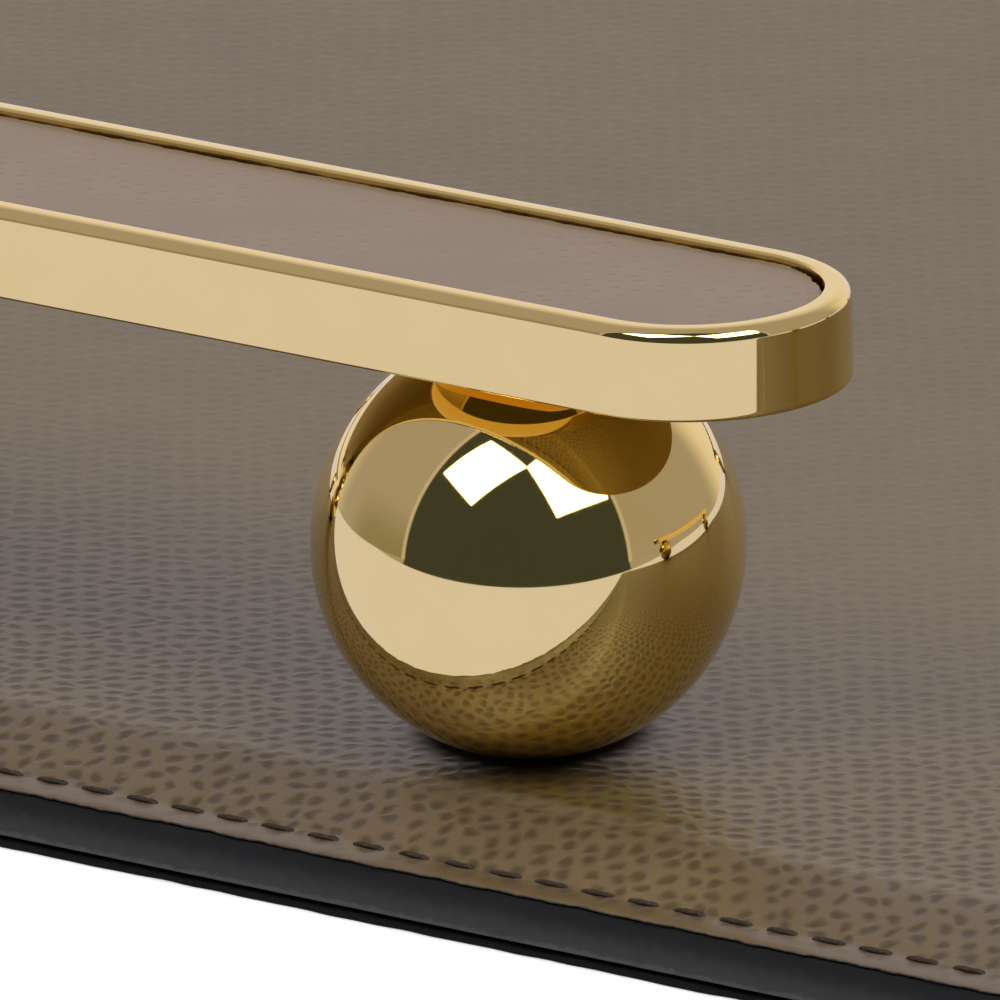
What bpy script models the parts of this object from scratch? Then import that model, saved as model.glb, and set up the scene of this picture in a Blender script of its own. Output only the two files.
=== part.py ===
"""Leather-covered serving tray with four inlaid metal handles carried on balls.

Sizes are in metres, Z is up and the origin lies under the middle of the base.
The tray is a flat sandwich: a lining, a black edge wrap, a wooden core and a
stitched leather top whose border falls away to the edge. On each of its four
sides a stadium-ended bar with a leather inlay stands on two drilled balls,
held from beneath by one long screw through each ball.
"""
import math

import bmesh
import bpy

NAME = "leather_tray"

# Tray plan
TRAY_LENGTH = 0.650
TRAY_DEPTH = 0.400
CORNER_RADIUS = 0.008
FOLD_CORNER_RADIUS = 0.0035

# Stack, from the table upwards
SEAM = 0.0003
LINING_THICK = 0.00055
CORE_THICK = 0.0045
LEATHER_THICK = 0.0011
WRAP_THICK = 0.0009

# Border of the leather top
BORDER_WIDTH = 0.0113
STITCH_INSET = 0.0031
STITCH_DROP = 0.00215
EDGE_DROP = 0.0022
EDGE_SKIVE = 0.00025
EDGE_ROUND = 0.00010
FOLD_ROUND = 0.0022

# Edge wrap
WRAP_RETURN = 0.0150
WRAP_SETBACK = 0.0002
WRAP_ROUND = 0.0006
BEND_MIDDLE = 0.30
LINING_SETBACK = 0.0006

# Handle on its balls
BALL_DIAMETER = 0.030
BALL_SPACING = 0.200
BALL_INSET = 0.0212
BAR_RISE = 0.0291
BAR_THICK = 0.0065
BAR_WIDTH = 0.0217
BAR_OVERHANG = 0.0253
BAR_ROUND = 0.0005
RIM_WIDTH = 0.0019
POCKET_DEPTH = 0.0020
INLAY_THICK = 0.0012

# Fixings under the tray
SCREW_DIAMETER = 0.0040
SCREW_CLEARANCE = 0.0003
SCREW_HEAD_DIAMETER = 0.0074
SCREW_HEAD_THICK = 0.0013
SCREW_SOCKET_ACROSS = 0.0025
SCREW_SOCKET_DEPTH = 0.0007
SCREW_POINT = 0.0003
BLIND_HOLE_DEPTH = 0.0035
WASHER_DIAMETER = 0.0098
WASHER_THICK = 0.0005
COUNTERBORE_DIAMETER = 0.0106
COUNTERBORE_DEPTH = 0.0026

# Sizes and levels that follow from these
BAR_LENGTH = BALL_SPACING + 2 * BAR_OVERHANG
LINING_TOP = LINING_THICK
CORE_BOTTOM = LINING_TOP + SEAM
CORE_TOP = CORE_BOTTOM + CORE_THICK
LEATHER_BOTTOM = CORE_TOP + SEAM
LEATHER_TOP = LEATHER_BOTTOM + LEATHER_THICK
BALL_CENTRE = LEATHER_TOP + BALL_DIAMETER / 2
BAR_BOTTOM = LEATHER_TOP + BAR_RISE
BAR_TOP = BAR_BOTTOM + BAR_THICK
POCKET_FLOOR = BAR_TOP - POCKET_DEPTH

CORNER_STEPS = 6
END_STEPS = 18
BALL_STEPS = 26
BALL_RINGS = 13
SCREW_STEPS = 14

# Working allowances
MERGE = 0.00001
OVERCUT = 0.002

for old in list(bpy.data.objects):
    bpy.data.objects.remove(old, do_unlink=True)

parts = bpy.data.collections.new(NAME)
bpy.context.scene.collection.children.link(parts)
cutters = bpy.data.collections.new("cutters")
bpy.context.scene.collection.children.link(cutters)


def material(name, colour, rough, metal=0.0):
    mat = bpy.data.materials.new(name)
    mat.use_nodes = True
    shader = mat.node_tree.nodes["Principled BSDF"]
    shader.inputs["Base Color"].default_value = (*colour, 1.0)
    shader.inputs["Roughness"].default_value = rough
    shader.inputs["Metallic"].default_value = metal
    mat.diffuse_color = (*colour, 1.0)
    return mat


TAUPE = material("taupe_grain_leather", (0.205, 0.165, 0.128), 0.55)
INLAY = material("taupe_inlay_leather", (0.300, 0.225, 0.175), 0.60)
BLACK = material("black_edge_leather", (0.012, 0.012, 0.013), 0.42)
LINING = material("black_lining", (0.006, 0.006, 0.006), 0.90)
WOOD = material("core_board", (0.420, 0.290, 0.170), 0.70)
GOLD = material("polished_gold_plate", (0.830, 0.640, 0.300), 0.06, 1.0)
STEEL = material("zinc_steel", (0.560, 0.570, 0.580), 0.30, 1.0)


def rounded_rectangle(length, depth, radius, z):
    """Outline of a rectangle with rounded corners, anticlockwise, at height z."""
    loop = []
    corners = ((1, 1, 0.0), (-1, 1, 0.5), (-1, -1, 1.0), (1, -1, 1.5))
    for sx, sy, start in corners:
        cx = sx * (length / 2 - radius)
        cy = sy * (depth / 2 - radius)
        for step in range(CORNER_STEPS + 1):
            angle = math.pi * (start + 0.5 * step / CORNER_STEPS)
            loop.append((cx + radius * math.cos(angle), cy + radius * math.sin(angle), z))
    return loop


def tray_outline(inset, z):
    """Outline of the tray drawn in by inset, its corners tightening to the fold."""
    share = min(max(inset / BORDER_WIDTH, 0.0), 1.0)
    radius = CORNER_RADIUS + (FOLD_CORNER_RADIUS - CORNER_RADIUS) * share
    return rounded_rectangle(TRAY_LENGTH - 2 * inset, TRAY_DEPTH - 2 * inset, radius, z)


def stadium(length, width):
    """Outline of a bar with half-round ends, along X, anticlockwise."""
    radius = width / 2
    centre = length / 2 - radius
    loop = []
    for side in (1, -1):
        for step in range(END_STEPS + 1):
            angle = math.pi * (step / END_STEPS - 0.5)
            loop.append((side * (centre + radius * math.cos(angle)), side * radius * math.sin(angle)))
    return loop


def finish(obj, mat, place=(0.0, 0.0, 0.0), turns=0, home=None):
    """Give an object its material, its place and its collection."""
    obj.data.materials.append(mat)
    obj.location = place
    obj.rotation_euler = (0.0, 0.0, turns * math.pi / 2)
    (home or parts).objects.link(obj)
    return obj


def shade(obj, angle):
    obj.data.shade_smooth()
    obj.data.set_sharp_from_angle(angle=math.radians(angle))


def lofted(name, loops, closed=False):
    """Object skinned through equal outlines, capped at both ends unless closed."""
    count = len(loops[0])
    spans = len(loops) if closed else len(loops) - 1
    faces = []
    for row in range(spans):
        low = row * count
        high = ((row + 1) % len(loops)) * count
        for i in range(count):
            j = (i + 1) % count
            faces.append((low + i, low + j, high + j, high + i))
    if not closed:
        faces.append(tuple(reversed(range(count))))
        faces.append(tuple(range(count * spans, count * spans + count)))
    mesh = bpy.data.meshes.new(name)
    mesh.from_pydata([point for loop in loops for point in loop], [], faces)
    mesh.update()
    return bpy.data.objects.new(name, mesh)


def plate(name, outline, thick):
    """Flat outline extruded to a plate that stands on z = 0, as a welded mesh."""
    curve = bpy.data.curves.new(name, "CURVE")
    curve.dimensions = "2D"
    curve.fill_mode = "BOTH"
    curve.extrude = thick / 2
    spline = curve.splines.new("POLY")
    spline.points.add(len(outline) - 1)
    for point, (x, y) in zip(spline.points, outline):
        point.co = (x, y, 0.0, 1.0)
    spline.use_cyclic_u = True
    drawn = bpy.data.objects.new(name + "_outline", curve)
    bpy.context.scene.collection.objects.link(drawn)
    bpy.context.view_layer.update()
    seen = drawn.evaluated_get(bpy.context.evaluated_depsgraph_get())
    mesh = bpy.data.meshes.new_from_object(seen)
    bpy.data.objects.remove(drawn, do_unlink=True)
    shell = bmesh.new()
    shell.from_mesh(mesh)
    bmesh.ops.remove_doubles(shell, verts=shell.verts, dist=MERGE)
    bmesh.ops.translate(shell, verts=shell.verts, vec=(0.0, 0.0, thick / 2))
    bmesh.ops.recalc_face_normals(shell, faces=shell.faces)
    shell.to_mesh(mesh)
    shell.free()
    mesh.name = name
    return bpy.data.objects.new(name, mesh)


def soften(obj, width, steps):
    """Round the sharp edges of a plate."""
    edge = obj.modifiers.new("soften", "BEVEL")
    edge.width = width
    edge.segments = steps
    edge.limit_method = "ANGLE"
    edge.angle_limit = math.radians(50)
    edge.use_clamp_overlap = True


def turned(name, profile, steps, closed=False):
    """Profile of (radius, z) points, down its outer side, turned about Z."""
    points = [(radius, 0.0, z) for radius, z in profile]
    edges = [(i, i + 1) for i in range(len(points) - 1)]
    if closed:
        edges.append((len(points) - 1, 0))
    mesh = bpy.data.meshes.new(name)
    mesh.from_pydata(points, edges, [])
    obj = bpy.data.objects.new(name, mesh)
    spin = obj.modifiers.new("turn", "SCREW")
    spin.angle = 2 * math.pi
    spin.steps = steps
    spin.render_steps = steps
    spin.use_merge_vertices = True
    spin.merge_threshold = MERGE
    spin.use_smooth_shade = True
    return obj


def arc(cz, radius, start, end, steps):
    """Points of an arc about (0, cz) in the X-Z plane, angles in degrees."""
    out = []
    for step in range(steps + 1):
        angle = math.radians(start + (end - start) * step / steps)
        out.append((radius * math.cos(angle), cz + radius * math.sin(angle)))
    return out


def cut(obj, tool):
    """Subtract a cutter from an object, both left in the file."""
    hole = obj.modifiers.new(tool.name, "BOOLEAN")
    hole.operation = "DIFFERENCE"
    hole.solver = "EXACT"
    hole.object = tool
    tool.hide_render = True
    tool.display_type = "WIRE"


def drill(obj, profile, places):
    """Drill a turned hole, given by its profile, at each ground point."""
    for number, (x, y) in enumerate(places, 1):
        tool = turned(f"drill_{obj.name}_{number}", profile, SCREW_STEPS)
        cut(obj, finish(tool, STEEL, (x, y, 0.0), 0, cutters))


# Each side is (name, middle of its handle, quarter turns of the bar)
SIDES = (
    ("front", (0.0, -(TRAY_DEPTH / 2 - BALL_INSET)), 0),
    ("right", (TRAY_LENGTH / 2 - BALL_INSET, 0.0), 1),
    ("back", (0.0, TRAY_DEPTH / 2 - BALL_INSET), 2),
    ("left", (-(TRAY_LENGTH / 2 - BALL_INSET), 0.0), 3),
)


BORE = SCREW_DIAMETER / 2 + SCREW_CLEARANCE


def quarter_turn(x, y, turns):
    for _ in range(turns):
        x, y = -y, x
    return x, y


def ball_places(side):
    """Ground points of the two balls of one handle."""
    _, (cx, cy), turns = side
    places = []
    for way in (-1, 1):
        dx, dy = quarter_turn(way * BALL_SPACING / 2, 0.0, turns)
        places.append((cx + dx, cy + dy))
    return places


ALL_PLACES = [place for side in SIDES for place in ball_places(side)]


def rod(radius, high, low):
    """Profile of a plain round drill from high down to low."""
    return [(0.0, high), (radius, high), (radius, low), (0.0, low)]


def build_lining():
    """Thin lining glued under the whole base."""
    loops = [tray_outline(LINING_SETBACK, z) for z in (0.0, LINING_TOP)]
    finish(lofted("base_lining", loops), LINING)


def cover_underside(inset):
    """Height of the top leather's underside between its cut edge and its stitches."""
    at_edge = LEATHER_TOP - EDGE_DROP - EDGE_SKIVE
    at_stitches = LEATHER_BOTTOM - STITCH_DROP
    return at_edge + (at_stitches - at_edge) * inset / STITCH_INSET


def build_wrap():
    """Black leather folded round the side of the board and under its foot."""
    out = WRAP_SETBACK
    inner = WRAP_SETBACK + WRAP_THICK
    low = CORE_BOTTOM
    bend = WRAP_ROUND
    loops = [
        tray_outline(out, cover_underside(out) - SEAM),
        tray_outline(inner, cover_underside(inner) - SEAM),
        tray_outline(inner, low + WRAP_THICK),
        tray_outline(WRAP_RETURN, low + WRAP_THICK),
        tray_outline(WRAP_RETURN, low),
        tray_outline(out + bend, low),
        tray_outline(out + bend * BEND_MIDDLE, low + bend * BEND_MIDDLE),
        tray_outline(out, low + bend),
    ]
    finish(lofted("edge_wrap", loops, closed=True), BLACK)


def build_core():
    """Wooden board, its top edge bevelled to the stitches and its foot rebated for the wrap."""
    side = WRAP_SETBACK + WRAP_THICK + SEAM
    land = CORE_TOP - STITCH_DROP
    rebate = WRAP_THICK + SEAM
    loops = [
        tray_outline(WRAP_RETURN + SEAM, CORE_BOTTOM),
        tray_outline(WRAP_RETURN + SEAM, CORE_BOTTOM + rebate),
        tray_outline(side, CORE_BOTTOM + rebate),
        tray_outline(side, land),
        tray_outline(STITCH_INSET + SEAM, land),
        tray_outline(BORDER_WIDTH + SEAM, CORE_TOP),
    ]
    board = finish(lofted("core_board", loops), WOOD)
    step = CORE_BOTTOM + COUNTERBORE_DEPTH
    wide = COUNTERBORE_DIAMETER / 2
    profile = [
        (0.0, CORE_TOP + OVERCUT), (BORE, CORE_TOP + OVERCUT), (BORE, step),
        (wide, step), (wide, CORE_BOTTOM - OVERCUT), (0.0, CORE_BOTTOM - OVERCUT),
    ]
    drill(board, profile, ALL_PLACES)


def build_leather():
    """Top cover: flat field, soft fold, falling border and skived cut edge."""
    edge = LEATHER_TOP - EDGE_DROP
    fall = STITCH_DROP / (BORDER_WIDTH - STITCH_INSET)
    loops = [
        tray_outline(BORDER_WIDTH, LEATHER_BOTTOM),
        tray_outline(STITCH_INSET, LEATHER_BOTTOM - STITCH_DROP),
        tray_outline(0.0, cover_underside(0.0)),
        tray_outline(0.0, edge - EDGE_ROUND),
        tray_outline(EDGE_ROUND, edge),
        tray_outline(STITCH_INSET, LEATHER_TOP - STITCH_DROP),
    ]
    for share in (-1.0, -0.33, 0.33, 1.0):
        sag = FOLD_ROUND * fall * (1.0 - share) ** 2 / 4
        loops.append(tray_outline(BORDER_WIDTH + FOLD_ROUND * share, LEATHER_TOP - sag))
    cover = finish(lofted("top_leather", loops), TAUPE)
    shade(cover, 30)
    drill(cover, rod(BORE, LEATHER_TOP + OVERCUT, LEATHER_BOTTOM - OVERCUT), ALL_PLACES)


def build_frame(side):
    """Solid bar with softened edges and a pocket in its top for the inlay."""
    name, (x, y), turns = side
    frame = plate("handle_frame_" + name, stadium(BAR_LENGTH, BAR_WIDTH), BAR_THICK)
    soften(frame, BAR_ROUND, 2)
    long = BAR_LENGTH - 2 * RIM_WIDTH
    wide = BAR_WIDTH - 2 * RIM_WIDTH
    tool = plate("pocket_" + name, stadium(long, wide), POCKET_DEPTH + OVERCUT)
    cut(frame, finish(tool, STEEL, (x, y, POCKET_FLOOR), turns, cutters))
    finish(frame, GOLD, (x, y, BAR_BOTTOM), turns)
    shade(frame, 40)
    drill(frame, rod(BORE, BAR_BOTTOM + BLIND_HOLE_DEPTH, BAR_BOTTOM - OVERCUT), ball_places(side))


def build_inlay(side):
    """Strip of leather laid in the pocket, a little below the rim."""
    name, (x, y), turns = side
    less = 2 * (RIM_WIDTH + SEAM)
    strip = plate("handle_inlay_" + name, stadium(BAR_LENGTH - less, BAR_WIDTH - less), INLAY_THICK)
    finish(strip, INLAY, (x, y, POCKET_FLOOR + SEAM), turns)
    shade(strip, 40)


def build_ball(name, place):
    """Turned ball with a seat at its foot and head and a bore for the screw."""
    radius = BALL_DIAMETER / 2
    high = BAR_BOTTOM - SEAM - BALL_CENTRE
    low = LEATHER_TOP + SEAM - BALL_CENTRE
    start = math.degrees(math.asin(high / radius))
    end = math.degrees(math.asin(low / radius))
    profile = arc(0.0, radius, start, end, BALL_RINGS) + [(BORE, low), (BORE, high)]
    ball = turned(name, profile, BALL_STEPS, closed=True)
    finish(ball, GOLD, (*place, BALL_CENTRE))


def build_screw(name, place):
    """Long socket screw, from the counterbore through the ball into the bar."""
    head_top = CORE_BOTTOM + COUNTERBORE_DEPTH - SEAM - WASHER_THICK - SEAM
    head_low = head_top - SCREW_HEAD_THICK
    tip = BAR_BOTTOM + BLIND_HOLE_DEPTH - SEAM
    shank = SCREW_DIAMETER / 2
    head = SCREW_HEAD_DIAMETER / 2
    socket = SCREW_SOCKET_ACROSS / 2
    profile = [
        (0.0, tip), (shank - SCREW_POINT, tip), (shank, tip - SCREW_POINT),
        (shank, head_top), (head, head_top), (head, head_low + SCREW_POINT),
        (head - SCREW_POINT, head_low), (socket, head_low),
        (socket, head_low + SCREW_SOCKET_DEPTH), (0.0, head_low + SCREW_SOCKET_DEPTH),
    ]
    finish(turned(name, profile, SCREW_STEPS), STEEL, (*place, 0.0))


def build_washer(name, place):
    """Plain washer between the screw's head and the board."""
    high = CORE_BOTTOM + COUNTERBORE_DEPTH - SEAM
    low = high - WASHER_THICK
    rim = WASHER_DIAMETER / 2
    profile = [(rim, high), (rim, low), (BORE, low), (BORE, high)]
    finish(turned(name, profile, SCREW_STEPS, closed=True), STEEL, (*place, 0.0))


build_lining()
build_wrap()
build_core()
build_leather()
for one_side in SIDES:
    build_frame(one_side)
    build_inlay(one_side)
    for letter, spot in zip("ab", ball_places(one_side)):
        tag = f"{one_side[0]}_{letter}"
        build_ball("ball_" + tag, spot)
        build_screw("fixing_screw_" + tag, spot)
        build_washer("washer_" + tag, spot)
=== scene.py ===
"""Leather serving tray with inlaid bar handles on balls, seen close at one handle's end.

The pieces follow the tray as it is laid up: lining, board, edge wrap, leather top,
stitching, and then the bars, inlays and balls that stand on it. Sizes are in metres.
"""
import math

import bpy
import numpy as np
from mathutils import Matrix, Vector
from mathutils.geometry import delaunay_2d_cdt


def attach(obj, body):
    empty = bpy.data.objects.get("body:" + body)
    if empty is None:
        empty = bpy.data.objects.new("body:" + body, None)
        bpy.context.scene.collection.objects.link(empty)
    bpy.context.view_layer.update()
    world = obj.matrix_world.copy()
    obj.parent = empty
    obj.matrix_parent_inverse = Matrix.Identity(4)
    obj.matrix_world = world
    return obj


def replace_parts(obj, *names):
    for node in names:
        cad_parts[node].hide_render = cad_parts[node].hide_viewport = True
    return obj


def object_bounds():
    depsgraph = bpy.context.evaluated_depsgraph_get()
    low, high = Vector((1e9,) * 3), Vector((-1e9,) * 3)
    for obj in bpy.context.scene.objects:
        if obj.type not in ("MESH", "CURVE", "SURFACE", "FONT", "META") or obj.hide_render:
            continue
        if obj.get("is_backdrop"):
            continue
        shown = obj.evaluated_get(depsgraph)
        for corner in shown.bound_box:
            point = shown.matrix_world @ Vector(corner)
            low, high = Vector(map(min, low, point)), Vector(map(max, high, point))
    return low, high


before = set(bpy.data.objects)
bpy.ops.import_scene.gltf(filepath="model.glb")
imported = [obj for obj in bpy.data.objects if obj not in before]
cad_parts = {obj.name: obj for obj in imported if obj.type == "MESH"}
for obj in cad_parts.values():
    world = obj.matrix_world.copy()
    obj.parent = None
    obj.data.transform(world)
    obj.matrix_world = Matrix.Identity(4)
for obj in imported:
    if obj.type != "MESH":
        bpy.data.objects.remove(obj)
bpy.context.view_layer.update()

# The camera: a long lens about 17 degrees above the tray and 37 degrees round
# from square to the front handle, aimed at the ball nearest that handle's right end.
TRAY_LENGTH = 0.650
TRAY_DEPTH = 0.400
LEATHER_TOP = 0.00675
BALL_RADIUS = 0.015
BALL_SPACING = 0.200
BALL_INSET = 0.0212
SEEN_BALL = Vector((BALL_SPACING / 2, BALL_INSET - TRAY_DEPTH / 2, LEATHER_TOP + BALL_RADIUS))
VIEW_RISE = math.radians(17.07)
VIEW_ROUND = math.radians(36.95)
VIEW_ROLL = math.radians(1.30)
VIEW_DISTANCE = 2.0
FRAME_PIXELS = 1000
PIXELS_PER_RADIAN = 29200.0
AIM_RIGHT = -0.00195
AIM_UP = 0.00284

towards = Vector((
    math.sin(VIEW_ROUND) * math.cos(VIEW_RISE),
    -math.cos(VIEW_ROUND) * math.cos(VIEW_RISE),
    math.sin(VIEW_RISE),
))
level = Vector((math.cos(VIEW_ROUND), math.sin(VIEW_ROUND), 0.0))
upright = towards.cross(level)
right = level * math.cos(VIEW_ROLL) - upright * math.sin(VIEW_ROLL)
above = upright * math.cos(VIEW_ROLL) + level * math.sin(VIEW_ROLL)

lens = bpy.data.cameras.new("camera")
lens.sensor_width = 36.0
lens.lens = PIXELS_PER_RADIAN * lens.sensor_width / FRAME_PIXELS
lens.clip_start = 0.05
lens.clip_end = 100.0
camera = bpy.data.objects.new("camera", lens)
camera.matrix_world = Matrix((right, above, towards)).transposed().to_4x4()
camera.location = SEEN_BALL + right * AIM_RIGHT + above * AIM_UP + towards * VIEW_DISTANCE
bpy.context.scene.collection.objects.link(camera)
bpy.context.scene.camera = camera
bpy.context.scene.view_settings.view_transform = "Standard"


# The studio: a room with pale walls and backdrop, an opening in front left dark,
# and two large softboxes hung in that opening. All of it is the world's own shader.
class Wire:
    """One socket of a material's nodes. Sums, differences and products add Math nodes."""

    def __init__(self, tree, socket=None):
        self.tree = tree
        self.socket = socket

    def node(self, kind, settings=None, inputs=None, out=0):
        """Add a node of any type: its settings first, then its sockets' values or links."""
        made = self.tree.nodes.new(kind)
        for name, value in (settings or {}).items():
            setattr(made, name, value)
        for name, value in (inputs or {}).items():
            if isinstance(value, Wire):
                self.tree.links.new(value.socket, made.inputs[name])
            else:
                made.inputs[name].default_value = value
        return Wire(self.tree, made.outputs[out] if made.outputs else None)

    def beside(self, name):
        """Another output of the same node, by name."""
        return Wire(self.tree, self.socket.node.outputs[name])

    def math(self, operation, *terms):
        """Math node on numbers or wires."""
        return self.node("ShaderNodeMath", {"operation": operation}, dict(enumerate(terms)))

    def __add__(self, other):
        return self.math("ADD", self, other)

    def __sub__(self, other):
        return self.math("SUBTRACT", self, other)

    def __rsub__(self, other):
        return self.math("SUBTRACT", other, self)

    def __mul__(self, other):
        return self.math("MULTIPLY", self, other)

    def vector(self, operation, *terms, out=0):
        """Vector Math node: output 0 is a vector, output 1 a number."""
        return self.node("ShaderNodeVectorMath", {"operation": operation}, dict(enumerate(terms)), out)

    def step(self, low, high):
        """Smooth step from 0 at low to 1 at high, or from 1 down to 0 where high is below low."""
        ends = {"From Min": low, "From Max": high}
        if low > high:
            ends = {"From Min": high, "From Max": low, "To Min": 1.0, "To Max": 0.0}
        settings = {"interpolation_type": "SMOOTHSTEP"}
        return self.node("ShaderNodeMapRange", settings, {"Value": self, **ends})

    def colours(self, low, high):
        """Colour mixed from low where this wire is 0 to high where it is 1."""
        pair = [value if isinstance(value, Wire) else (*value, 1.0) for value in (low, high)]
        settings = {"data_type": "RGBA", "clamp_factor": True}
        return self.node("ShaderNodeMix", settings, {0: self, 6: pair[0], 7: pair[1]}, out=2)

    def dot(self, vector):
        """How far this vector reaches along another."""
        return self.vector("DOT_PRODUCT", self, tuple(vector), out=1)


def heading(azimuth, rise=0.0):
    """Unit vector so many degrees round from +X towards +Y and so many above the level."""
    turn, lift = math.radians(azimuth), math.radians(rise)
    return Vector((math.cos(turn) * math.cos(lift), math.sin(turn) * math.cos(lift), math.sin(lift)))


def card(ray, corners, soft):
    """Mask of a flat four-cornered card: the product of one soft half-space for each side."""
    middle = sum(corners, Vector((0.0, 0.0, 0.0)))
    mask = 1.0
    for one, other in zip(corners, corners[1:] + corners[:1]):
        side = one.cross(other).normalized()
        if side.dot(middle) < 0:
            side = -side
        mask = ray.dot(side).step(-soft, soft) * mask
    return mask


OPENING_LEFT = -121.5
OPENING_RIGHT = 0.5
OPENING_SOFT = 0.01
JAMB_WIDTH = 0.035
BOX_SOFT = 0.010
RIGHT_TOWARDS = 40
LOW_TOWARDS = -130
BACKDROP_TOWARDS = 127
LEFT_WALL = (0.43, 0.41, 0.53)
RIGHT_WALL = (0.42, 0.395, 0.48)
BACKDROP = (0.87, 0.83, 0.90)
LOW_WALL = (0.30, 0.28, 0.27)
OPENING = (0.056, 0.063, 0.068)
JAMB = (0.60, 0.58, 0.72)
PLAIN_WALL = (0.45, 0.45, 0.45)
SOFTBOX = (5.6, 5.6, 5.6)
WHITE = (1.0, 1.0, 1.0)
LEFT_BOX = [heading(-100, 67.5), heading(-117, 42.9), heading(-88.7, 33.1), heading(-52.9, 56.6)]
RIGHT_BOX = [heading(-52.9, 56.6), heading(-35.9, 28.4), heading(-1.8, 31.3), heading(20, 64)]


def within_opening(ray, soft, jamb=0.0):
    """Mask of the wedge in front of the tray between the opening's two jambs."""
    left = ray.dot(heading(OPENING_LEFT + 90)).step(-soft - jamb, soft - jamb)
    return ray.dot(heading(OPENING_RIGHT - 90)).step(-soft - jamb, soft - jamb) * left


world = bpy.data.worlds.new("studio")
bpy.context.scene.world = world
world.use_nodes = True
world.node_tree.nodes.clear()
air = Wire(world.node_tree)
ray = air.node("ShaderNodeTexCoord", out=0)
seen = air.node("ShaderNodeLightPath")
mirrored = seen.beside("Is Glossy Ray")
rise = ray.dot((0, 0, 1))
walls = ray.dot(heading(RIGHT_TOWARDS)).step(-0.1, 0.1).colours(LEFT_WALL, RIGHT_WALL)
low = ray.dot(heading(LOW_TOWARDS)).step(0.80, 0.97) * rise.step(0.42, 0.02)
walls = low.colours(walls, LOW_WALL)
behind = ray.dot(heading(BACKDROP_TOWARDS)).step(0.45, 0.75) * rise.step(0.72, 0.32)
walls = mirrored.colours(PLAIN_WALL, behind.colours(walls, BACKDROP))
room = within_opening(ray, OPENING_SOFT, JAMB_WIDTH).colours(walls, mirrored.colours(PLAIN_WALL, JAMB))
room = within_opening(ray, OPENING_SOFT).colours(room, OPENING)
room = (card(ray, LEFT_BOX, BOX_SOFT) + card(ray, RIGHT_BOX, BOX_SOFT)).colours(room, SOFTBOX)
room = seen.beside("Is Camera Ray").colours(room, WHITE)
shine = air.node("ShaderNodeBackground", None, {"Color": room, "Strength": 1.0})
air.node("ShaderNodeOutputWorld", None, {"Surface": shine})

# The table: a white sheet whose front end lies some 200 mm before the ball. Past
# that line it mirrors in the metal as the dark opening does.
TABLE_REACH = 4.0
SHEET_END = 0.200
SHEET_END_SOFT = 0.002
SHEET_SIDE_SOFT = 0.004
SHEET_GLOW = (0.79, 0.81, 1.29)
PAPER = (0.90, 0.90, 0.90, 1.0)
PAPER_LIFT = 0.30


def surface(name):
    """New material with an empty tree, as (material, wire to start from)."""
    made = bpy.data.materials.new(name)
    made.use_nodes = True
    made.node_tree.nodes.clear()
    return made, Wire(made.node_tree)


table_white, start = surface("table_white")
spot = start.node("ShaderNodeTexCoord", out=3)
ahead = Vector((towards.x, towards.y, 0.0)).normalized()
past = (spot.dot(ahead) - SEEN_BALL.dot(ahead)).step(SHEET_END - SHEET_END_SOFT, SHEET_END + SHEET_END_SOFT)
beyond = within_opening(spot.vector("SUBTRACT", spot, tuple(SEEN_BALL)), SHEET_SIDE_SOFT)
glow = past.colours(SHEET_GLOW, beyond.colours(LEFT_WALL, OPENING))
glow = start.node("ShaderNodeEmission", None, {"Color": glow, "Strength": 1.0})
paper = start.node("ShaderNodeBsdfDiffuse", None, {"Color": PAPER})
lift = start.node("ShaderNodeEmission", None, {"Color": (*WHITE, 1.0), "Strength": PAPER_LIFT})
lifted = start.node("ShaderNodeAddShader", None, {0: paper, 1: lift})
path = start.node("ShaderNodeLightPath")
plain = start.node("ShaderNodeMixShader", None, {0: path.beside("Is Camera Ray"), 1: paper, 2: lifted})
shader = start.node("ShaderNodeMixShader", None, {0: path.beside("Is Glossy Ray"), 1: plain, 2: glow})
start.node("ShaderNodeOutputMaterial", None, {"Surface": shader})

sheet = bpy.data.meshes.new("table")
corners = [(-1, -1), (1, -1), (1, 1), (-1, 1)]
sheet.from_pydata([(x * TABLE_REACH, y * TABLE_REACH, 0.0) for x, y in corners], [], [(0, 1, 2, 3)])
table = bpy.data.objects.new("table", sheet)
sheet.materials.append(table_white)
bpy.context.scene.collection.objects.link(table)
table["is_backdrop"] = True

# The lining: thin black lining paper glued under the whole base and trimmed by
# hand just inside the edge, so its cut edge wanders a little.
CORNER_RADIUS = 0.0080
FOLD_CORNER_RADIUS = 0.0035
BORDER_WIDTH = 0.0113
STITCH_INSET = 0.0031
STITCHES = 532
SEEN_STITCH = 0.1110
STRIP_STEPS = 4 * STITCHES
LONGEST_WAVE = 0.03
WAVES = 8
CAP_V = 0.02
LINING_INSET = 0.0006
LINING_THICK = 0.00055
LINING_SWAY = 0.00006
# Inset from the trimmed line, height, and place across the UV map.
LINING_EDGE = [
    (0.00025, 0.0, 0.0), (0.00005, 0.00006, 0.0002), (0.0, 0.00020, 0.0003),
    (0.00004, 0.00046, 0.0006), (0.00018, LINING_THICK, 0.0008),
]


def corner_radius(inset):
    """Radius of the corners so far in from the edge: wide outside, tight along the fold."""
    return CORNER_RADIUS + (FOLD_CORNER_RADIUS - CORNER_RADIUS) * np.clip(inset / BORDER_WIDTH, 0, 1)


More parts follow.
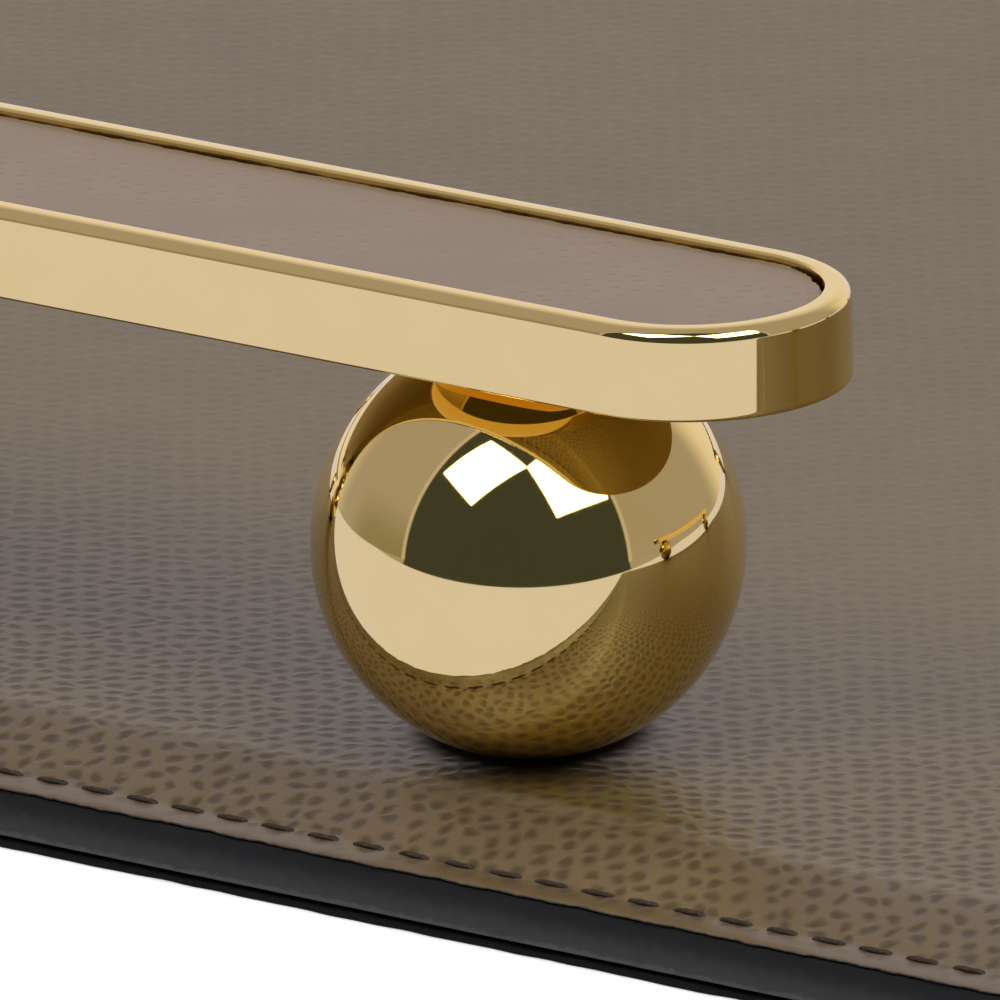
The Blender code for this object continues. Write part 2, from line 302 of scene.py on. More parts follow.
class Edge:
    """Even steps along the line of stitches, anticlockwise from one stitch in view.

    Each step knows the two corners that it runs between, its share of the way
    and the heading straight out of the tray. On a corner both ends are that corner.
    """

    def __init__(self, steps):
        radius = corner_radius(STITCH_INSET)
        along = TRAY_LENGTH / 2 - STITCH_INSET - radius
        across = TRAY_DEPTH / 2 - STITCH_INSET - radius
        bend = math.pi * radius / 2
        legs = np.array([2 * along, bend, 2 * across, bend] * 2)
        ends = np.cumsum(legs)
        self.length = ends[-1]
        self.run = np.arange(steps + 1) * self.length / steps
        at = (self.run[:-1] + SEEN_STITCH + along) % self.length
        leg = np.searchsorted(ends, at, side="right")
        share = (at - ends[leg] + legs[leg]) / legs[leg]
        corners = np.array([(-1, -1), (1, -1), (1, 1), (-1, 1)], float)
        side = leg // 2
        straight = (leg % 2 == 0)[:, None]
        self.to = corners[(side + 1) % 4]
        self.start = np.where(straight, corners[side], self.to)
        self.share = share[:, None]
        self.out = (side - 1 + np.where(straight[:, 0], 0, share)) * math.pi / 2

    def ring(self, inset, height):
        """Closed ring of points: a corner's centre plus its radius turned to the heading."""
        inset = np.broadcast_to(inset, self.out.shape)
        radius = corner_radius(inset)
        half = np.stack([TRAY_LENGTH / 2 - inset - radius, TRAY_DEPTH / 2 - inset - radius], 1)
        middle = half * (self.start * (1 - self.share) + self.to * self.share)
        flat = middle + radius[:, None] * np.stack([np.cos(self.out), np.sin(self.out)], 1)
        return np.column_stack([flat, np.broadcast_to(height, inset.shape)])


def wander(run, length, seed, finest):
    """Sum of closed sine waves round a run, from long ones to the finest, about +-1."""
    draw = np.random.default_rng(seed)
    waves = np.geomspace(length / LONGEST_WAVE, length / finest, WAVES).round()
    phase = draw.uniform(0, 2 * math.pi, WAVES)
    swing = np.sin(2 * math.pi * waves[:, None] * run / length + phase[:, None])
    return (swing * draw.uniform(0.3, 0.6, WAVES)[:, None]).sum(0)


class Shell:
    """A closed skin put together from rings of points joined by quads, and flat caps."""

    def __init__(self):
        self.points, self.quads, self.flats, self.uv = [], [], [], []
        self.count = 0

    def rings(self, rows, u=None, v=None, loop=False):
        """Join each ring to the next, as a grid of quads; with loop the last joins the first."""
        rows = np.asarray(rows)
        tall, wide = rows.shape[:2]
        index = self.count + np.arange(tall * wide).reshape(tall, wide)
        self.points.append(rows.reshape(-1, 3))
        self.count += tall * wide
        low = index if loop else index[:-1]
        high = np.roll(index, -1, 0) if loop else index[1:]
        quads = np.stack([low, np.roll(low, -1, 1), np.roll(high, -1, 1), high], -1)
        self.quads.append(quads.reshape(-1, 4))
        u = np.arange(wide + 1) / wide if u is None else u
        v = np.arange(tall) / tall if v is None else np.asarray(v)
        low_v = v if loop else v[:-1]
        high_v = np.roll(v, -1) if loop else v[1:]
        across = np.stack([u[:-1], u[1:], u[1:], u[:-1]], -1)[None].repeat(len(low_v), 0)
        up = np.stack([low_v, low_v, high_v, high_v], -1)[:, None].repeat(wide, 1)
        self.uv.append(np.stack([across, up], -1).reshape(-1, 2))
        return index

    def cap(self, ring, holes=(), facing=1):
        """Fill a level ring, round its holes, with flat triangles by Delaunay's rule."""
        loops = [np.asarray(ring)] + [np.asarray(hole) for hole in holes]
        index = np.concatenate(loops)
        every = np.concatenate(self.points)[index]
        spots = [Vector(point) for point in every[:, :2]]
        edges, first = [], 0
        for one in loops:
            edges += [(first + i, first + (i + 1) % len(one)) for i in range(len(one))]
            first += len(one)
        made = delaunay_2d_cdt(spots, edges, [], 2, 1e-9)
        old = np.array([sources[0] for sources in made[3]])
        flats = index[old[np.array(made[2])]]
        self.flats.append(flats[:, ::facing])

    def piece(self, name, material, sharp=35):
        """Make the mesh object, with its UV map in metres along and across the skin."""
        faces = [row for quads in self.quads for row in quads.tolist()]
        flats = [row for three in self.flats for row in three.tolist()]
        mesh = bpy.data.meshes.new(name)
        mesh.from_pydata(np.concatenate(self.points).tolist(), [], faces + flats)
        layer = mesh.uv_layers.new(name="skin")
        uv = np.concatenate(self.uv + [np.full((3 * len(flats), 2), CAP_V)])
        layer.data.foreach_set("uv", uv.astype(np.float32).ravel())
        mesh.shade_smooth()
        mesh.set_sharp_from_angle(angle=math.radians(sharp))
        mesh.materials.append(material)
        made = bpy.data.objects.new(name, mesh)
        bpy.context.scene.collection.objects.link(made)
        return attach(made, "root")


edge = Edge(STRIP_STEPS)
trim = LINING_INSET + LINING_SWAY * wander(edge.run[:-1], edge.length, 3, 0.004)
lining = Shell()
rings = lining.rings([edge.ring(trim + inset, z) for inset, z, _ in LINING_EDGE],
                     edge.run, [v for _, _, v in LINING_EDGE])
lining.cap(rings[0], facing=-1)
lining.cap(rings[-1])


def gloss(start, colour, rough, normal=None, cover=None, **more):
    """Principled shader to the material's output, under a second shader where cover gives one.

    Cover is a pair of mask wire and shader wire; more gives further sockets by name.
    """
    sockets = {"Base Color": colour, "Roughness": rough}
    if normal is not None:
        sockets["Normal"] = normal
    sockets.update({name.replace("_", " "): value for name, value in more.items()})
    shader = start.node("ShaderNodeBsdfPrincipled", None, sockets)
    if cover is not None:
        shader = start.node("ShaderNodeMixShader", None, {0: cover[0], 1: shader, 2: cover[1]})
    start.node("ShaderNodeOutputMaterial", None, {"Surface": shader})


def millimetres(start, turn=0.0, stretch=(1.0, 1.0, 1.0)):
    """Object coordinates in millimetres, turned about Z and stretched."""
    spot = start.node("ShaderNodeTexCoord", out=3)
    scale = tuple(1000.0 * part for part in stretch)
    sockets = {"Vector": spot, "Rotation": (0.0, 0.0, turn), "Scale": scale}
    return start.node("ShaderNodeMapping", {"vector_type": "POINT"}, sockets)


def noise(spot, scale, detail):
    """Height of 0 to 1 from a noise with so many waves to a millimetre."""
    return spot.node("ShaderNodeTexNoise", None,
                     {"Vector": spot, "Scale": scale, "Detail": detail, "Roughness": 0.5})


def raised(height, depth, strength=1.0, below=None):
    """Bump of so many metres from a height wire of 0 to 1."""
    sockets = {"Height": height, "Distance": depth, "Strength": strength}
    if below is not None:
        sockets["Normal"] = below
    return height.node("ShaderNodeBump", None, sockets)


lining_paper, start = surface("lining_paper")
spot = millimetres(start)
fibre = noise(spot, 3.0, 4.0)
tone = fibre.colours((0.005, 0.005, 0.004), (0.012, 0.012, 0.011))
gloss(start, tone, 0.85, raised(fibre, 0.00008), Specular_IOR_Level=0.1)
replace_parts(lining.piece("base_lining_sheet", lining_paper), "base_lining")

# The board: hidden plywood between the top leather and the lining. Its CAD solid
# stays and gets a wood finish with grain along the tray.
board_wood, start = surface("board_wood")
spot = millimetres(start, stretch=(0.04, 1.0, 1.0))
ring = noise(spot, 0.35, 3.0)
fibre = noise(spot, 2.5, 3.0)
tone = ring.step(0.35, 0.65).colours((0.36, 0.235, 0.125), (0.47, 0.335, 0.20))
tone = (fibre.step(0.45, 0.7) * 0.35).colours(tone, (0.28, 0.175, 0.09))
gloss(start, tone, 0.68, raised(fibre, 0.0001))
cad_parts["core_board"].data.materials.clear()
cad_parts["core_board"].data.materials.append(board_wood)

# The edge wrap: a strip of fine black leather folded round the board's side and
# turned under its foot, pressed flat with a soft lower bend; its colour holds painted shade and a painted
# highlight.
WRAP_LOW = 0.00085
WRAP_INNER = 0.0011
WRAP_INNER_TOP = 0.00405
WRAP_RETURN = 0.0150
WRAP_LEATHER = 0.0009
WRAP_SWAY = 0.00004
WRAP_SWAY_REACH = 0.0006
# Inset and height, from the foot up to the hide.
WRAP_SIDE = [
    (0.00200, WRAP_LOW), (0.00090, WRAP_LOW), (0.00062, 0.00092), (0.00044, 0.00108),
    (0.00034, 0.00130), (0.00028, 0.00165), (0.00023, 0.00215), (0.00021, 0.00270),
    (0.00022, 0.00325), (0.00024, 0.00370), (0.00028, 0.00402), (0.00038, 0.00421),
    (0.00050, 0.00427),
]

sway = wander(edge.run[:-1], edge.length, 5, 0.006)
outline = [(WRAP_RETURN, WRAP_LOW)] + WRAP_SIDE + [
    (WRAP_INNER, WRAP_INNER_TOP), (WRAP_INNER, WRAP_LOW + WRAP_LEATHER),
    (WRAP_RETURN, WRAP_LOW + WRAP_LEATHER),
]
wrap = Shell()
wrap.rings(
    [edge.ring(inset + (WRAP_SWAY * sway if inset < WRAP_SWAY_REACH else 0.0), z) for inset, z in outline],
    edge.run, [inset + z for inset, z in outline], loop=True,
)

wrap_leather, start = surface("black_edge_leather")
spot = millimetres(start)
grain = start.node("ShaderNodeTexVoronoi", {"feature": "F1"},
                   {"Vector": spot, "Scale": 3.2, "Randomness": 1.0})
rough = noise(spot, 1.2, 4.0)
# Painted shade, darkest up under the hide, and a painted highlight, palest on the bend at the foot.
low = spot.dot((0, 0, 1)) + rough * 0.9
tone = low.step(4.1, 1.9).colours((0.013, 0.013, 0.012), (0.042, 0.041, 0.037))
tone = low.step(1.95, 1.55).colours(tone, (0.078, 0.076, 0.070))
relief = raised(grain, 0.00003, 0.5, raised(rough, 0.00010, 0.5))
gloss(start, tone, 0.55, relief, Specular_IOR_Level=0.10)
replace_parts(wrap.piece("edge_wrap_strip", wrap_leather), "edge_wrap")

# The top: one hide of taupe pebble-grained leather laid over the board, creased at
# the fold, falling to the edge and cut there by hand; screw holes lie under the balls.
STEPS_PER_STITCH = 12
LEATHER_THICK = 0.0011
STITCH_DROP = 0.00215
EDGE_DROP = 0.0022
EDGE_FACE = 0.00012
EDGE_TUCK = 0.00004
EDGE_BEVEL = 0.00008
EDGE_WAVER = 0.00001
FOLD_REACH = 0.0022
FALL = STITCH_DROP / (BORDER_WIDTH - STITCH_INSET)
HOLE_RADIUS = 0.0023
HOLE_STEPS = 32
CUT_DEPTH = 0.00018
CUT_SCALLOP = 0.00004
CUT_WANDER = 0.00006
CUT_TEETH = 0.00007
CUT_LIMIT = 0.0005
PRESS_DEPTH = 0.00011
PRESS_REACH = 0.0005
QUILT_DEPTH = 0.00004
QUILT_INSET = 0.0022
QUILT_REACH = 0.0016
FACE_INSETS = (0.0012, 0.0025, STITCH_INSET, 0.0037, 0.0050, 0.0091, 0.0104, 0.0113, 0.0122, 0.0135)
SIDES = {
    "front": ((0.0, BALL_INSET - TRAY_DEPTH / 2), 0),
    "right": ((TRAY_LENGTH / 2 - BALL_INSET, 0.0), 1),
    "back": ((0.0, TRAY_DEPTH / 2 - BALL_INSET), 2),
    "left": ((BALL_INSET - TRAY_LENGTH / 2, 0.0), 3),
}


def turned(points, side):
    """Points of the front handle, drawn about its own middle, carried to one side of the tray."""
    (x, y), turns = SIDES[side]
    angle = turns * math.pi / 2
    spin = np.array([[math.cos(angle), math.sin(angle)], [-math.sin(angle), math.cos(angle)]]).round(9)
    moved = np.array(points, float)
    moved[..., :2] = moved[..., :2] @ spin + (x, y)
    return moved


def foot(side, way):
    """Middle of a handle's foot, the first with way -1 and the second with way 1."""
    return turned([(way * BALL_SPACING / 2, 0.0, 0.0)], side)[0]


def circle(centre, radius, height, steps=HOLE_STEPS):
    """Level ring of points, anticlockwise."""
    turn = 2 * math.pi * np.arange(steps) / steps
    return np.column_stack([
        centre[0] + radius * np.cos(turn), centre[1] + radius * np.sin(turn), np.full(steps, height),
    ])


def cover_height(inset):
    """Height of the hide's face: level, a parabola round the fold, a slope, then a thinned edge."""
    bend = np.clip((BORDER_WIDTH + FOLD_REACH - inset) / (2 * FOLD_REACH), 0, 1)
    sag = FALL * (FOLD_REACH * bend ** 2 + np.clip(BORDER_WIDTH - FOLD_REACH - inset, 0, None))
    low = STITCH_DROP + (EDGE_DROP - STITCH_DROP) * np.clip(1 - inset / STITCH_INSET, 0, 1)
    return LEATHER_TOP - np.where(inset > STITCH_INSET, sag, low)


edge = Edge(STITCHES * STEPS_PER_STITCH)
run = edge.run[:-1]
beat = np.cos(2 * math.pi * run * STITCHES / edge.length)
nibble = wander(run, edge.length, 11, 0.0009)
teeth = np.random.default_rng(13).normal(0, CUT_TEETH, len(run))
teeth = (np.roll(teeth, 1) + 2 * teeth + np.roll(teeth, -1)) / 4
cut = np.clip(CUT_DEPTH + CUT_SCALLOP * beat + CUT_WANDER * nibble + teeth, 0.0, CUT_LIMIT)
hide_low = LEATHER_TOP - LEATHER_THICK
edge_top = LEATHER_TOP - EDGE_DROP
# Two rings underneath and three round the cut edge, and then those of the face.
rows = [
    edge.ring(BORDER_WIDTH, hide_low),
    edge.ring(STITCH_INSET, hide_low - STITCH_DROP),
    edge.ring(EDGE_TUCK + cut, edge_top - EDGE_FACE),
    edge.ring(cut, edge_top - EDGE_TUCK + EDGE_WAVER * nibble),
    edge.ring(EDGE_BEVEL + cut, edge_top - EDGE_WAVER * beat),
]
spans = [BORDER_WIDTH, STITCH_INSET, 0.0, 0.0, 0.0002, *FACE_INSETS]
for inset in FACE_INSETS:
    press = PRESS_DEPTH * math.exp(-((inset - STITCH_INSET) / PRESS_REACH) ** 2) * (0.75 + 0.45 * beat)
    quilt = QUILT_DEPTH * beat * math.exp(-((inset - QUILT_INSET) / QUILT_REACH) ** 2)
    rows.append(edge.ring(inset, cover_height(inset) - press - quilt))
hide = Shell()
rings = hide.rings(rows, edge.run, spans)
holes_top, holes_low = [], []
for side in SIDES:
    for way in (-1, 1):
        centre = foot(side, way)
        wall = hide.rings([circle(centre, HOLE_RADIUS, z) for z in (LEATHER_TOP, hide_low)])
        holes_top.append(wall[0])
        holes_low.append(wall[1])
hide.cap(rings[-1], holes_top)
hide.cap(rings[0], holes_low, facing=-1)

# The grain's pits, in millimetres: a brick's width and length, half a pit's width
# and length, and how far pits move in their bricks, as a share of one.
FIELD_GRAIN = (1.65, 1.72, 0.80, 0.76, 0.22)
BORDER_GRAIN = (1.68, 1.86, 0.70, 0.84, 0.38)
PIT_RIM = 1.12
PIT_FLOOR = 0.22
# Insets from the edge between which each part of the finish, and the painted highlight on the fold's crest,
# comes or goes.
GRAIN_FADE = (0.075, 0.014)
PIT_START = (0.0002, 0.0040)
FIELD_START = (0.0105, 0.0118)
STRIP_END = (0.0030, 0.0014)
CREST_START = (0.0106, 0.0116)
CREST_END = (0.0134, 0.0122)
TRIMMED_END = (0.00020, 0.00005)
BORDER_TONES = ((0.120, 0.0810, 0.0410), (0.133, 0.0905, 0.0470))
FIELD_TONES = ((0.104, 0.0670, 0.0125), (0.117, 0.0755, 0.0170))
PIT_TONE = (0.050, 0.033, 0.016)
FLECK_TONE = (0.17, 0.12, 0.07)
STRIP_TONE = (0.080, 0.053, 0.020)
CREST_HIGHLIGHT_TONE = (0.205, 0.155, 0.105)
TRIMMED_TONE = (0.034, 0.027, 0.021)
# Painted shade: a ring of matt dark shader round each ball's seat, set a little towards the tray's middle;
# the same shade also dims each pit.
SEAT_SHIFT = (0.0024, 0.0032)
SEAT_RING = (0.0096, 0.0066)
SHADE = (0.030, 0.020, 0.011, 1.0)


def pits(spot, wide, long, half_wide, half_long, jitter):
    """Pits in wavering columns, one to a brick, moved and set off by chance: 1 in a pit's middle."""
    across, along = spot.dot((1 / wide, 0, 0)), spot.dot((0, 1 / long, 0))
    column = across.math("FLOOR", across)
    shift = spot.node("ShaderNodeTexWhiteNoise", {"noise_dimensions": "1D"}, {"W": column})
    along = along + shift
    row = along.math("FLOOR", along)
    brick = spot.node("ShaderNodeCombineXYZ", None, {0: column, 1: row})
    place = spot.node("ShaderNodeCombineXYZ", None, {0: across, 1: along})
    chance = spot.node("ShaderNodeTexWhiteNoise", {"noise_dimensions": "2D"}, {"Vector": brick}, out=1)
    least = 0.5 - jitter / 2
    middle = spot.vector("MULTIPLY_ADD", chance, (jitter, jitter, 0), (least, least, 0))
    away = spot.vector("SUBTRACT", spot.vector("SUBTRACT", place, brick), middle)
    away = spot.vector("MULTIPLY", away, (wide / half_wide, long / half_long, 0))
    return spot.vector("LENGTH", away, out=1).step(PIT_RIM, PIT_FLOOR)


top_leather, start = surface("taupe_grain_leather")
skin_uv = start.node("ShaderNodeUVMap", {"uv_map": "skin"})
inset = skin_uv.dot((0, 1, 0))
on_field = inset.step(*FIELD_START)
spot = millimetres(start, turn=-VIEW_ROUND)
warp = spot.node("ShaderNodeTexNoise", None, {"Vector": spot, "Scale": 0.30, "Detail": 3.0}, out=1)
spot = spot.vector("MULTIPLY_ADD", warp, (2.4, 2.4, 0.0), spot)
whole = start.vector("ABSOLUTE", start.node("ShaderNodeTexCoord", out=3))
inner = start.math("MINIMUM", TRAY_LENGTH / 2 - whole.dot((1, 0, 0)), TRAY_DEPTH / 2 - whole.dot((0, 1, 0)))
field_pits = pits(spot, *FIELD_GRAIN) * (inner.step(*GRAIN_FADE) * 0.82 + 0.18)
border_pits = pits(spot, *BORDER_GRAIN)
pore = on_field * field_pits + (1 - on_field) * border_pits
fine = noise(spot, 3.0, 3.0)
broad = noise(spot, 0.12, 2.0)
pore = pore * inset.step(*PIT_START)
border_tone = broad.step(0.3, 0.7).colours(*BORDER_TONES)
field_tone = broad.step(0.3, 0.7).colours(*FIELD_TONES)
tone = on_field.colours(border_tone, field_tone)
# Pits a darker tone: partly the grain's own colour, partly painted shade in its hollows.
tone = (pore * 0.62).colours(tone, PIT_TONE)
tone = (fine.step(0.5, 0.75) * 0.2).colours(tone, FLECK_TONE)
tone = (inset.step(*STRIP_END) * 0.38).colours(tone, STRIP_TONE)
# A painted highlight along the crest of the fold.
crest_highlight = inset.step(*CREST_START) * inset.step(*CREST_END)
tone = (crest_highlight * 0.40).colours(tone, CREST_HIGHLIGHT_TONE)
trimmed = inset.step(*TRIMMED_END)
tone = trimmed.colours(tone, TRIMMED_TONE)
relief = raised(1 - pore, 0.00011, 0.60, raised(fine, 0.00003, 0.5))
along, inward = BALL_SPACING / 2 - SEAT_SHIFT[0], BALL_INSET + SEAT_SHIFT[1]
seats = [(along, TRAY_DEPTH / 2 - inward), (TRAY_LENGTH / 2 - inward, along)]
flat = start.vector("MULTIPLY", whole, (1.0, 1.0, 0.0))
to_seat = start.math("MINIMUM", *[start.vector("DISTANCE", flat, (x, y, 0.0), out=1) for x, y in seats])
# Painted shade: the matt dark shader over the ring round each seat and over a share of each pit.
painted_shade = start.math("MAXIMUM", to_seat.step(*SEAT_RING), pore * 0.24)
shade = start.node("ShaderNodeBsdfDiffuse", None, {"Color": SHADE})
gloss(start, tone, trimmed * 0.5 + 0.42, relief, (painted_shade, shade), Specular_IOR_Level=0.66)
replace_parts(hide.piece("top_hide", top_leather, sharp=50), "top_leather")

# The stitching: one line of dark brown waxed thread of two twisted strands, sunk
# a little in the hide, each stitch diving into its hole at both ends.
STITCH_LONG = 0.0032
STITCH_SPREAD = (0.94, 1.05)
THREAD_HALF = 0.00021
THREAD_ROUND = 8
THREAD_RINGS = 9
STRAND_TWIST = 2600.0
STRAND_SWELL = 0.16
THREAD_PROUD = 0.00004
THREAD_DIVE = 0.00034
THREAD_FLAT = 0.85
THREAD_TILT = 0.02
THREAD_LEAN = 0.8
# Three quads close each end of a thread eight points round.
NEAR_END = ((0, 7, 6, 5), (0, 5, 4, 3), (0, 3, 2, 1))
FAR_END = ((1, 2, 3, 0), (3, 4, 5, 0), (5, 6, 7, 0))

line = Edge(STITCHES)
middle = line.ring(STITCH_INSET, LEATHER_TOP - STITCH_DROP)
out = np.stack([np.cos(line.out), np.sin(line.out), np.full(STITCHES, -FALL * THREAD_LEAN)], 1)
out /= np.linalg.norm(out, axis=1)[:, None]
along = np.stack([-np.sin(line.out), np.cos(line.out), np.zeros(STITCHES)], 1)
away = np.cross(along, -out)
away *= np.sign(away[:, 2])[:, None]
draw = np.random.default_rng(7)
length = STITCH_LONG * draw.uniform(*STITCH_SPREAD, STITCHES)
tilt = draw.normal(0, THREAD_TILT, STITCHES)
share = np.linspace(-1, 1, THREAD_RINGS)
turn = 2 * math.pi * np.arange(THREAD_ROUND) / THREAD_ROUND
reach = share[None, :] * length[:, None] / 2
swell = np.sqrt(np.clip(1 - share ** 6, 0.03, 1))
rise = THREAD_PROUD - THREAD_DIVE * share ** 6
lobes = 1 + STRAND_SWELL * np.cos(2 * (turn[None, None, :] - STRAND_TWIST * reach[:, :, None]))
wide = THREAD_HALF * swell[None, :, None] * lobes
grid = (
    middle[:, None, None, :]
    + reach[:, :, None, None] * (along + tilt[:, None] * out)[:, None, None, :]
    + (rise[None, :, None] + THREAD_FLAT * wide * np.sin(turn))[..., None] * away[:, None, None, :]
    + (wide * np.cos(turn))[..., None] * out[:, None, None, :]
)
thread = Shell()
for one in grid:
    rings = thread.rings(one[:, ::-1], v=share * STITCH_LONG / 2)
    thread.quads += [rings[0][np.array(NEAR_END)], rings[-1][np.array(FAR_END)]]
    thread.uv.append(np.zeros((4 * (len(NEAR_END) + len(FAR_END)), 2)))

thread_brown, start = surface("waxed_thread")
spot = millimetres(start)
fluff = noise(spot, 9.0, 3.0)
tone = fluff.step(0.4, 0.7).colours((0.022, 0.014, 0.009), (0.075, 0.050, 0.032))
gloss(start, tone, 0.70, raised(fluff, 0.00005), Specular_IOR_Level=0.3)
thread.piece("stitching", thread_brown, sharp=80)

# The bars: solid bars with half-round ends, ground, polished and plated pale gold,
# with a shallow pocket milled in the top for the inlay and two blind holes below.
BAR_LENGTH = 0.2506
BAR_WIDTH = 0.0217
BAR_LOW = 0.03585
BAR_TOP = 0.04235
POCKET_FLOOR = 0.04035
RIM_WIDTH = 0.0019
BAR_ROUND = 0.0008
FOOT_ROUND = 0.0004
BLIND_DEPTH = 0.0035
END_STEPS = 96
SIDE_STEPS = 40
# The rim: offset from the bar's outline, and drop below its top.
RIM = [
    (0.00090, 0.00001), (0.00110, 0.0), (0.00155, 0.0), (0.00172, 0.00001), (0.00182, 0.00004),
    (0.00188, 0.00010), (RIM_WIDTH, 0.00016), (RIM_WIDTH, 0.00022),
]


def stadium(offset, height, wave=0.0, side_steps=SIDE_STEPS):
    """Level ring round a bar with half-round ends, drawn in by offset and waved outwards."""
    radius = BAR_WIDTH / 2 - offset
    middle = BAR_LENGTH / 2 - BAR_WIDTH / 2
    turn = np.linspace(-math.pi / 2, math.pi / 2, END_STEPS, endpoint=False)
    slide = np.linspace(1, -1, side_steps, endpoint=False)
    far = np.concatenate([np.full(END_STEPS, middle), middle * slide])
    angle = np.concatenate([turn, np.full(side_steps, math.pi / 2)])
    x = np.concatenate([far, -far])
    angle = np.concatenate([angle, angle + math.pi])
    size = radius + np.broadcast_to(wave, angle.shape)
    return np.column_stack([x + size * np.cos(angle), size * np.sin(angle), np.full(len(x), height)])


def rounding(offset, height, radius, start, end, steps):
    """Quarter-round of (offset, height) pairs about a centre, angles in degrees."""
    angle = np.radians(np.linspace(start, end, steps))
    return [(offset - radius * math.cos(a), height + radius * math.sin(a)) for a in angle]


plated, start = surface("polished_gold_plate")
spot = millimetres(start)
cloud = noise(spot, 0.25, 2.0)
haze = noise(spot, 1.4, 3.0)
tone = cloud.step(0.3, 0.7).colours((0.855, 0.642, 0.218), (0.865, 0.652, 0.228))
gloss(start, tone, haze.step(0.2, 0.8) * 0.02 + 0.025, Metallic=1.0)

bar_profile = [(0.0020, BAR_LOW), (FOOT_ROUND + 0.0001, BAR_LOW)]
bar_profile += rounding(FOOT_ROUND, BAR_LOW + FOOT_ROUND, FOOT_ROUND, -90, 0, 7)
bar_profile += [(0.0, BAR_LOW + FOOT_ROUND + 0.0001), (0.0, BAR_TOP - BAR_ROUND - 0.00012)]
bar_profile += rounding(BAR_ROUND, BAR_TOP - BAR_ROUND - 0.00004, BAR_ROUND, 0, 80, 11)
bar_profile += [(offset, BAR_TOP - drop) for offset, drop in RIM] + [(RIM_WIDTH, POCKET_FLOOR)]
for side in SIDES:
    bar = Shell()
    rings = bar.rings([turned(stadium(offset, z), side) for offset, z in bar_profile])
    blind = []
    for way in (-1, 1):
        centre = foot(side, way)
        wall = bar.rings([circle(centre, HOLE_RADIUS, z) for z in (BAR_LOW + BLIND_DEPTH, BAR_LOW)])
        bar.cap(wall[0], facing=-1)
        blind.append(wall[1])
    bar.cap(rings[0], blind, facing=-1)
    bar.cap(rings[-1])
    piece = bar.piece("bar_" + side, plated, sharp=60)
    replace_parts(piece, "handle_frame_" + side)

# The inlays: strips of paler, smoother leather cut by hand to fit the pockets, so
# their dark cut edges wave a little, and glued a hair below the rim.
INLAY_OFFSET = RIM_WIDTH + 0.0002
INLAY_LOW = 0.04065
INLAY_TOP = 0.04187
INLAY_STEPS = 360
INLAY_RUN = 0.54
INLAY_SWAY = 0.00011
INLAY_GRAIN = (1.7, 1.6, 0.45, 0.45, 0.6)
# Offset beyond the strip's own, height, share of the wave, and place across the UV map.
INLAY_EDGE = [
    (0.0001, INLAY_LOW, 1, 0.0), (0.0, INLAY_LOW + 0.0003, 1, 0.0003),
    (0.0, INLAY_TOP - 0.0003, 1, 0.0009), (0.00004, INLAY_TOP - 0.00006, 1, 0.0012),
    (0.00014, INLAY_TOP, 1, 0.0016), (0.0012, INLAY_TOP, 0, 0.0025),
]

inlay_leather, start = surface("taupe_inlay_leather")
skin_uv = start.node("ShaderNodeUVMap", {"uv_map": "skin"})
side_cut = skin_uv.dot((0, 1, 0)).step(0.0016, 0.0011)
spot = millimetres(start, turn=-VIEW_ROUND)
fine = noise(spot, 3.0, 3.0)
broad = noise(spot, 0.15, 2.0)
pore = pits(spot, *INLAY_GRAIN) * broad.step(0.35, 0.65)
tone = broad.step(0.3, 0.7).colours((0.209, 0.142, 0.084), (0.225, 0.154, 0.093))
tone = (pore * 0.3).colours(tone, (0.13, 0.085, 0.052))
tone = (fine.step(0.45, 0.75) * 0.2).colours(tone, (0.26, 0.19, 0.125))
tone = side_cut.colours(tone, (0.05, 0.030, 0.014))
relief = raised(1 - pore, 0.00006, 0.5, raised(fine, 0.00002, 0.5))
gloss(start, tone, 0.42, relief, Specular_IOR_Level=0.45)
ring_steps = 2 * (END_STEPS + INLAY_STEPS)
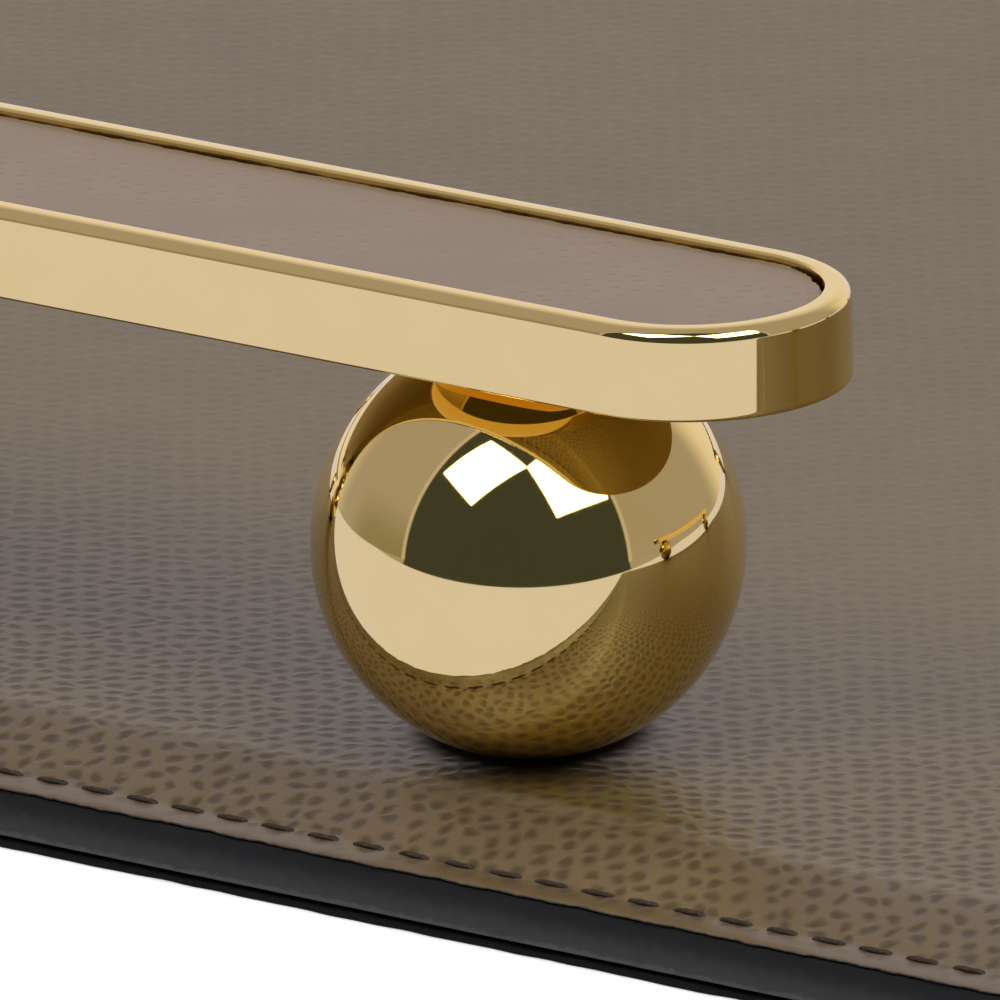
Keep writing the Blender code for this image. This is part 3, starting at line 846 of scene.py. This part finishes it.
for number, side in enumerate(SIDES):
    turn = np.arange(ring_steps) / ring_steps
    wave = wander(turn * INLAY_RUN, INLAY_RUN, 20 + number, 0.0015)
    wave = np.clip(INLAY_SWAY * wave, -0.0003, 0.00015)
    strip = Shell()
    rings = strip.rings([
        turned(stadium(INLAY_OFFSET + offset, z, share * wave, INLAY_STEPS), side)
        for offset, z, share, _ in INLAY_EDGE
    ], v=[v for *_, v in INLAY_EDGE])
    strip.cap(rings[0], facing=-1)
    strip.cap(rings[-1])
    piece = strip.piece("inlay_" + side, inlay_leather, sharp=60)
    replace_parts(piece, "handle_inlay_" + side)

# The balls: solid turned balls, polished and plated as the bars are, seated on
# small flats and bored through for the screws.
BALL_STEPS = 160
BALL_ROWS = 96
SEAT_LOW = 0.00705
SEAT_HIGH = 0.03555

middle = LEATHER_TOP + BALL_RADIUS
ends = [math.asin((z - middle) / BALL_RADIUS) for z in (SEAT_LOW, SEAT_HIGH)]
rises = np.linspace(*ends, BALL_ROWS)
for side in SIDES:
    for letter, way in (("a", -1), ("b", 1)):
        centre = foot(side, way)
        rows = [circle(centre, BALL_RADIUS * math.cos(a), middle + BALL_RADIUS * math.sin(a), BALL_STEPS)
                for a in rises]
        rows += [circle(centre, HOLE_RADIUS, z, BALL_STEPS) for z in (SEAT_HIGH, SEAT_LOW)]
        ball = Shell()
        ball.rings(rows, loop=True)
        piece = ball.piece(f"ball_{side}_{letter}_polished", plated, sharp=40)
        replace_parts(piece, f"ball_{side}_{letter}")

# The screws and washers: zinc-plated steel, hidden in the board, the balls and the
# bars. Their CAD solids stay and get a dull, slightly mottled plating.
zinc, start = surface("zinc_plate")
spot = millimetres(start)
spangle = start.node("ShaderNodeTexVoronoi", {"feature": "F1"}, {"Vector": spot, "Scale": 1.2}, out=1)
dull = noise(spot, 2.0, 3.0)
tone = spangle.dot((0.33, 0.33, 0.33)).colours((0.50, 0.51, 0.52), (0.62, 0.63, 0.64))
gloss(start, tone, dull * 0.25 + 0.2, raised(dull, 0.00003), Metallic=1.0)
for name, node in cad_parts.items():
    if name.startswith(("fixing_screw", "washer")):
        node.data.materials.clear()
        node.data.materials.append(zinc)

low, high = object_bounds()
